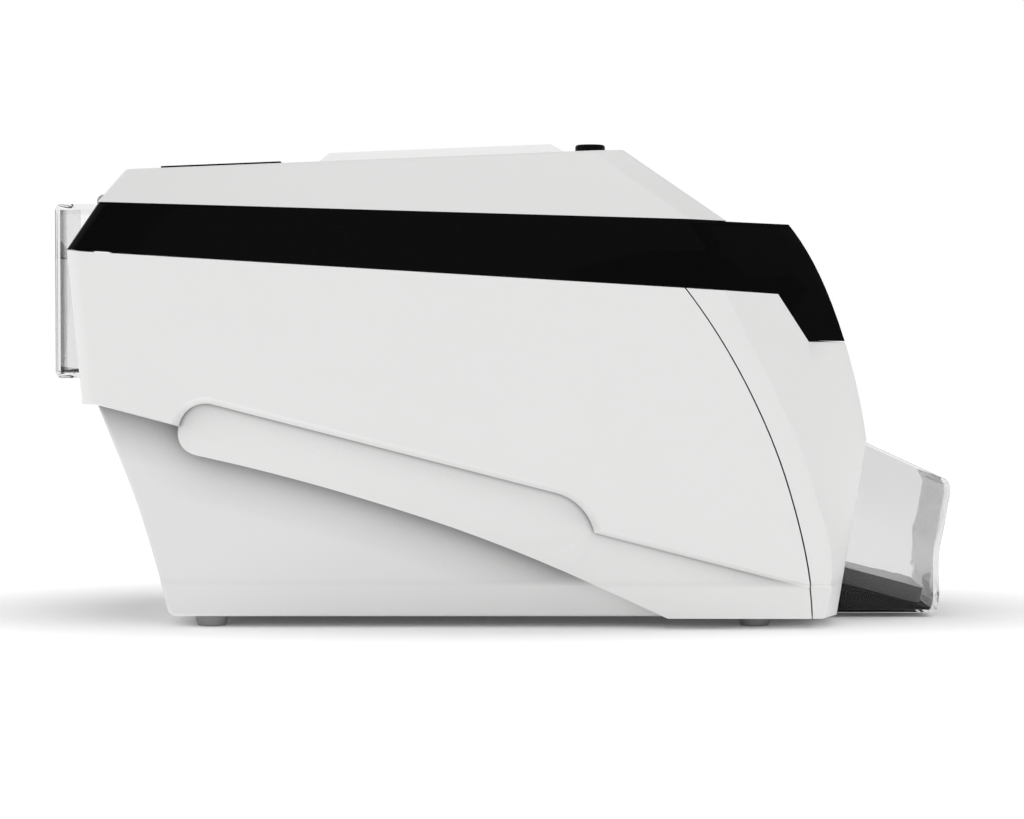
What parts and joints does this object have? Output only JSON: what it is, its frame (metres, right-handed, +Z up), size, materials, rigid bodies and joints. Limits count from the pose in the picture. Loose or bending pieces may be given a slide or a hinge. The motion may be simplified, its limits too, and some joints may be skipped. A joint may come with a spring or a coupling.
{
  "type": "id card printer",
  "caption": "Desk-top plastic card printer with a hinged lid over the ribbon and print head, a clear rear card feeder box and a clear front output tray.",
  "frame": {"origin": "centre of the overall box, on the desk under the feet", "axes": "+X towards the front, where the printed cards come out; +Z up; Y across"},
  "size_m": [0.4038, 0.19, 0.215],
  "materials": {
    "white_shell": "satin",
    "white_base": "satin",
    "gloss_black": "gloss",
    "clear_plastic": "polished",
    "smoked_window": "gloss",
    "display_glass": "gloss",
    "dark_plastic": "matte",
    "grey_rubber": "matte",
    "black_rubber": "matte",
    "card_white": "satin",
    "zinc_steel": "satin",
    "ground_steel": "polished",
    "dark_steel": "satin",
    "head_aluminium": "satin",
    "ceramic_head": "matte",
    "gear_plastic": "satin",
    "spool_plastic": "satin",
    "colour_film": "gloss",
    "board_green": "satin",
    "grey_plastic": "satin"
  },
  "bodies": {
    "casing": {"base_tub": "white_base", "side_shell_left": "white_shell", "side_shell_right": "white_shell", "front_fascia": "white_shell", "rear_panel": "white_shell", "black_band": "gloss_black", "display_window": "display_glass", "cover_hinge_brackets": "zinc_steel", "cover_hinge_pins": "ground_steel", "rubber_feet": "grey_rubber", "base_screws": "dark_steel", "connector_plate": "grey_plastic", "power_socket": "dark_plastic", "usb_socket": "zinc_steel", "network_socket": "zinc_steel", "power_switch_frame": "dark_plastic", "chassis_plate_left": "zinc_steel", "chassis_plate_right": "zinc_steel", "cross_bars": "ground_steel", "inner_deck": "dark_plastic", "feeder_frame": "dark_plastic", "feed_belt": "black_rubber", "ribbon_web": "colour_film", "main_motor": "dark_steel", "main_board": "board_green", "fan_frame": "dark_plastic"},
    "cover": {"top_cover": "white_shell", "cover_window": "smoked_window", "head_bracket": "dark_steel"},
    "button": {"release_button": "gloss_black"},
    "latch": {"latch_bar": "dark_plastic"},
    "print_head": {"thermal_head": "ceramic_head", "head_heatsink": "head_aluminium"},
    "card_hopper": {"rear_hopper_cover": "clear_plastic"},
    "output_tray": {"output_hopper": "clear_plastic", "hopper_floor": "dark_plastic", "output_cards": "card_white"},
    "gate": {"card_gate": "zinc_steel"},
    "key": {"panel_key": "grey_plastic"},
    "rocker": {"power_rocker": "gloss_black"},
    "fan": {"fan_rotor": "dark_plastic"},
    "pick_roller": {"pick_shaft": "ground_steel", "pick_tyres": "black_rubber"},
    "rear_drive": {"rear_drive_shaft": "ground_steel", "rear_drive_tyre": "black_rubber", "drive_pulley": "gear_plastic"},
    "platen": {"platen_shaft": "ground_steel", "platen_tyre": "black_rubber", "platen_gear": "gear_plastic"},
    "exit_drive": {"exit_shaft": "ground_steel", "exit_tyre": "black_rubber"},
    "rear_pinch": {"pinch_roller_rear": "ground_steel"},
    "exit_pinch": {"pinch_roller_exit": "ground_steel"},
    "rear_idler": {"rear_idler_gear": "gear_plastic"},
    "front_idler": {"front_idler_gear": "gear_plastic"},
    "pinion": {"motor_pinion": "ground_steel"},
    "supply": {"supply_spool": "spool_plastic", "supply_film": "colour_film"},
    "takeup": {"takeup_spool": "spool_plastic", "takeup_gear": "gear_plastic"}
  },
  "joints": [
    {"name": "cover_hinge", "type": "hinge", "parent": "casing", "child": "cover", "pos_m": [-0.17604, 0, 0.18653], "axis": [0, -1, 0], "range_deg": [0, 75]},
    {"name": "button_press", "type": "slide", "parent": "cover", "child": "button", "axis": [0, 0, -1], "range_m": [0, 0.003], "stiffness_N_per_m": 600, "springref_m": -0.0004},
    {"name": "latch_turn", "type": "hinge", "parent": "cover", "child": "latch", "pos_m": [0.072, 0, 0.182], "axis": [0, -1, 0], "range_deg": [0, 8]},
    {"name": "head_tilt", "type": "hinge", "parent": "cover", "child": "print_head", "pos_m": [-0.00502, 0, 0.11742], "axis": [0, 1, 0], "range_deg": [-1.5, 1.5], "stiffness_Nm_per_rad": 2},
    {"name": "card_hopper_hinge", "type": "hinge", "parent": "casing", "child": "card_hopper", "pos_m": [-0.1846, 0, 0.1095], "axis": [0, -1, 0], "range_deg": [0, 40]},
    {"name": "output_tray_slide", "type": "slide", "parent": "casing", "child": "output_tray", "axis": [1, 0, 0], "range_m": [0, 0.11]},
    {"name": "gate_slide", "type": "slide", "parent": "casing", "child": "gate", "axis": [0, 0, 1], "range_m": [0, 0.0008]},
    {"name": "key_press", "type": "slide", "parent": "casing", "child": "key", "axis": [-0.866, 0, -0.5], "range_m": [0, 0.0012], "stiffness_N_per_m": 600, "springref_m": -0.0002},
    {"name": "power_rocker_turn", "type": "hinge", "parent": "casing", "child": "rocker", "pos_m": [-0.1445, -0.042, 0.061], "axis": [0, 0, 1], "range_deg": [0, 8]},
    {"name": "fan_spin", "type": "hinge", "parent": "casing", "child": "fan", "pos_m": [-0.062, 0, 0.012], "axis": [0, 0, 1], "continuous": true},
    {"name": "platen_spin", "type": "hinge", "parent": "casing", "child": "platen", "pos_m": [-0.00636, 0, 0.08942], "axis": [0, 1, 0], "continuous": true},
    {"name": "rear_drive_spin", "type": "hinge", "parent": "casing", "child": "rear_drive", "pos_m": [-0.05581, 0, 0.09681], "axis": [0, 1, 0], "continuous": true},
    {"name": "exit_drive_spin", "type": "hinge", "parent": "casing", "child": "exit_drive", "pos_m": [0.06781, 0, 0.07833], "axis": [0, 1, 0], "continuous": true},
    {"name": "pick_spin", "type": "hinge", "parent": "casing", "child": "pick_roller", "pos_m": [-0.14, 0, 0.1034], "axis": [0, 1, 0], "continuous": true},
    {"name": "rear_pinch_spin", "type": "hinge", "parent": "casing", "child": "rear_pinch", "pos_m": [-0.05377, 0, 0.11045], "axis": [0, 1, 0], "continuous": true},
    {"name": "exit_pinch_spin", "type": "hinge", "parent": "casing", "child": "exit_pinch", "pos_m": [0.06985, 0, 0.09198], "axis": [0, 1, 0], "continuous": true},
    {"name": "rear_idler_spin", "type": "hinge", "parent": "casing", "child": "rear_idler", "pos_m": [-0.03109, 0, 0.09311], "axis": [0, 1, 0], "continuous": true},
    {"name": "front_idler_spin", "type": "hinge", "parent": "casing", "child": "front_idler", "pos_m": [0.03073, 0, 0.08387], "axis": [0, 1, 0], "continuous": true},
    {"name": "pinion_spin", "type": "hinge", "parent": "casing", "child": "pinion", "pos_m": [0.03073, 0, 0.05137], "axis": [0, 1, 0], "continuous": true},
    {"name": "takeup_spin", "type": "hinge", "parent": "casing", "child": "takeup", "pos_m": [0.04102, 0, 0.1379], "axis": [0, 1, 0], "continuous": true},
    {"name": "supply_spin", "type": "hinge", "parent": "casing", "child": "supply", "pos_m": [-0.05, 0, 0.15], "axis": [0, 1, 0], "continuous": true}
  ],
  "couplings": [
    {"joint": "latch_turn", "follows": "button_press", "rad_per_m": 32},
    {"joint": "rear_drive_spin", "follows": "platen_spin", "ratio": 1},
    {"joint": "pick_spin", "follows": "platen_spin", "ratio": 1},
    {"joint": "exit_drive_spin", "follows": "platen_spin", "ratio": 1},
    {"joint": "rear_idler_spin", "follows": "platen_spin", "ratio": -1},
    {"joint": "front_idler_spin", "follows": "platen_spin", "ratio": -0.5},
    {"joint": "pinion_spin", "follows": "platen_spin", "ratio": 1.6667},
    {"joint": "takeup_spin", "follows": "platen_spin", "ratio": 0.41667},
    {"joint": "supply_spin", "follows": "platen_spin", "ratio": 0.24123},
    {"joint": "rear_pinch_spin", "follows": "platen_spin", "ratio": -1.6},
    {"joint": "exit_pinch_spin", "follows": "platen_spin", "ratio": -1.6}
  ]
}
